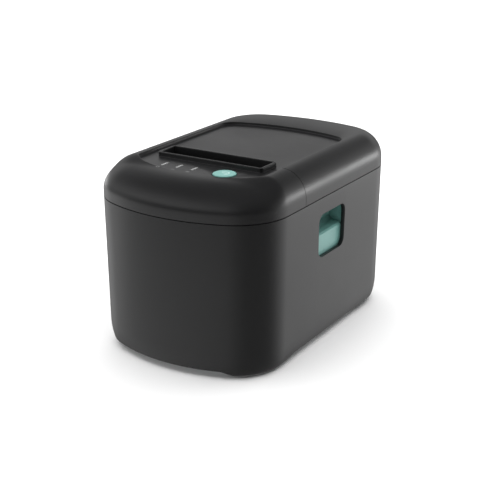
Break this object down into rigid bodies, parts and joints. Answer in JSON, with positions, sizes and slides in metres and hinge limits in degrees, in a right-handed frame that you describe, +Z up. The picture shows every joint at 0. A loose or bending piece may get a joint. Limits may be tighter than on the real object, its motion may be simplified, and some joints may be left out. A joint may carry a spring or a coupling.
{
  "type": "receipt printer",
  "caption": "Desktop thermal receipt printer with a rounded case, hinged paper lid, feed button, side release lever, print and cutter mechanism and rear connector bay.",
  "frame": {"origin": "middle of the footprint, on the table", "axes": "+Z up, -Y the front with the feed button, +X the side with the lever window"},
  "size_m": [0.145, 0.228, 0.1392],
  "materials": {
    "case_plastic": "satin fine-grained charcoal moulding",
    "teal_plastic": "satin teal moulding",
    "black_plastic": "black moulding",
    "inner_plastic": "dark grey moulding",
    "white_plastic": "milky plastic",
    "light_lens": "milky light guide",
    "gear_plastic": "natural acetal",
    "circuit_board": "solder-masked board",
    "steel": "plain sheet steel",
    "screw_steel": "zinc-plated",
    "blade_steel": "ground blade steel",
    "motor_metal": "blackened can",
    "brass": "bronze and brass",
    "aluminium": "extruded",
    "ceramic": "glazed ceramic",
    "foot_rubber": "soft black rubber",
    "roller_rubber": "ground rubber",
    "ribbon": "flat flexible cable"
  },
  "bodies": {
    "case": {"lower_housing": "case_plastic", "base_plate": "steel", "rubber_feet": "foot_rubber", "base_screws": "screw_steel", "front_cover": "case_plastic", "status_lights": "light_lens", "panel_board": "circuit_board", "panel_leds": "white_plastic", "feed_switch": "black_plastic", "panel_screws": "screw_steel", "main_board": "circuit_board", "board_chips": "black_plastic", "board_capacitors": "motor_metal", "board_screws": "screw_steel", "power_inlet": "black_plastic", "usb_socket": "steel", "network_socket": "steel", "drawer_socket": "black_plastic", "serial_socket": "steel", "connector_plate": "steel", "plate_screws": "screw_steel", "switch_body": "black_plastic", "paper_bin": "inner_plastic", "near_end_sensor": "black_plastic", "paper_sensor": "black_plastic", "mechanism_frame": "steel", "frame_screws": "screw_steel", "feed_motor": "motor_metal", "idler_axle": "steel", "cutter_bed": "steel", "cutter_motor": "motor_metal", "latch_spring": "steel", "head_spring": "blade_steel", "head_rod": "steel", "lid_switch": "black_plastic", "ribbon_cable": "ribbon", "hinge_pins": "steel"},
    "lid": {"rear_lid": "case_plastic", "lid_liner": "inner_plastic", "platen_bracket": "steel", "latch_pins": "steel", "platen_bushings": "brass", "fixed_blade": "blade_steel"},
    "platen": {"platen_shaft": "steel", "platen_roller": "roller_rubber", "platen_gear": "gear_plastic"},
    "idler": {"idler_gear": "gear_plastic"},
    "pinion": {"motor_pinion": "brass"},
    "cutter_drive": {"cutter_gear": "gear_plastic"},
    "blade": {"moving_blade": "blade_steel", "blade_rack": "gear_plastic"},
    "head": {"print_head": "ceramic", "heat_sink": "aluminium"},
    "button": {"feed_button": "teal_plastic"},
    "latch": {"release_lever": "teal_plastic", "latch_shaft": "steel", "latch_hooks": "steel"},
    "rocker": {"power_rocker": "black_plastic"}
  },
  "joints": [
    {"name": "lid_hinge", "type": "hinge", "parent": "case", "child": "lid", "pos_m": [0, 0.104, 0.107], "axis": [-1, 0, 0], "range_deg": [0, 95]},
    {"name": "platen_spin", "type": "hinge", "parent": "lid", "child": "platen", "pos_m": [0, -0.0315, 0.112], "axis": [1, 0, 0], "continuous": true},
    {"name": "idler_spin", "type": "hinge", "parent": "case", "child": "idler", "pos_m": [-0.056, -0.0315, 0.091], "axis": [1, 0, 0], "continuous": true},
    {"name": "pinion_spin", "type": "hinge", "parent": "case", "child": "pinion", "pos_m": [-0.056, -0.03714, 0.0755], "axis": [1, 0, 0], "continuous": true},
    {"name": "cutter_spin", "type": "hinge", "parent": "case", "child": "cutter_drive", "pos_m": [0.038, -0.0615, 0.12], "axis": [0, 0, -1], "range_deg": [0, 77]},
    {"name": "blade_slide", "type": "slide", "parent": "case", "child": "blade", "axis": [0, 1, 0], "range_m": [0, 0.0065]},
    {"name": "head_pivot", "type": "hinge", "parent": "case", "child": "head", "pos_m": [0, -0.0425, 0.098], "axis": [1, 0, 0], "range_deg": [0, 1.5], "stiffness_Nm_per_rad": 3, "springref_deg": -5.73},
    {"name": "button_press", "type": "slide", "parent": "case", "child": "button", "axis": [0, 0, -1], "range_m": [0, 0.001], "stiffness_N_per_m": 250, "springref_m": -0.0008},
    {"name": "lever_press", "type": "hinge", "parent": "case", "child": "latch", "pos_m": [0, -0.0195, 0.088], "axis": [-1, 0, 0], "range_deg": [0, 12], "stiffness_Nm_per_rad": 0.3, "springref_deg": -8.59},
    {"name": "rocker_tilt", "type": "hinge", "parent": "case", "child": "rocker", "pos_m": [-0.0345, 0.095, 0.0641], "axis": [-1, 0, 0], "range_deg": [0, 16]}
  ],
  "couplings": [
    {"joint": "idler_spin", "follows": "platen_spin", "ratio": -0.86667},
    {"joint": "pinion_spin", "follows": "platen_spin", "ratio": 1.8571},
    {"joint": "blade_slide", "follows": "cutter_spin", "m_per_rad": 0.0048}
  ]
}
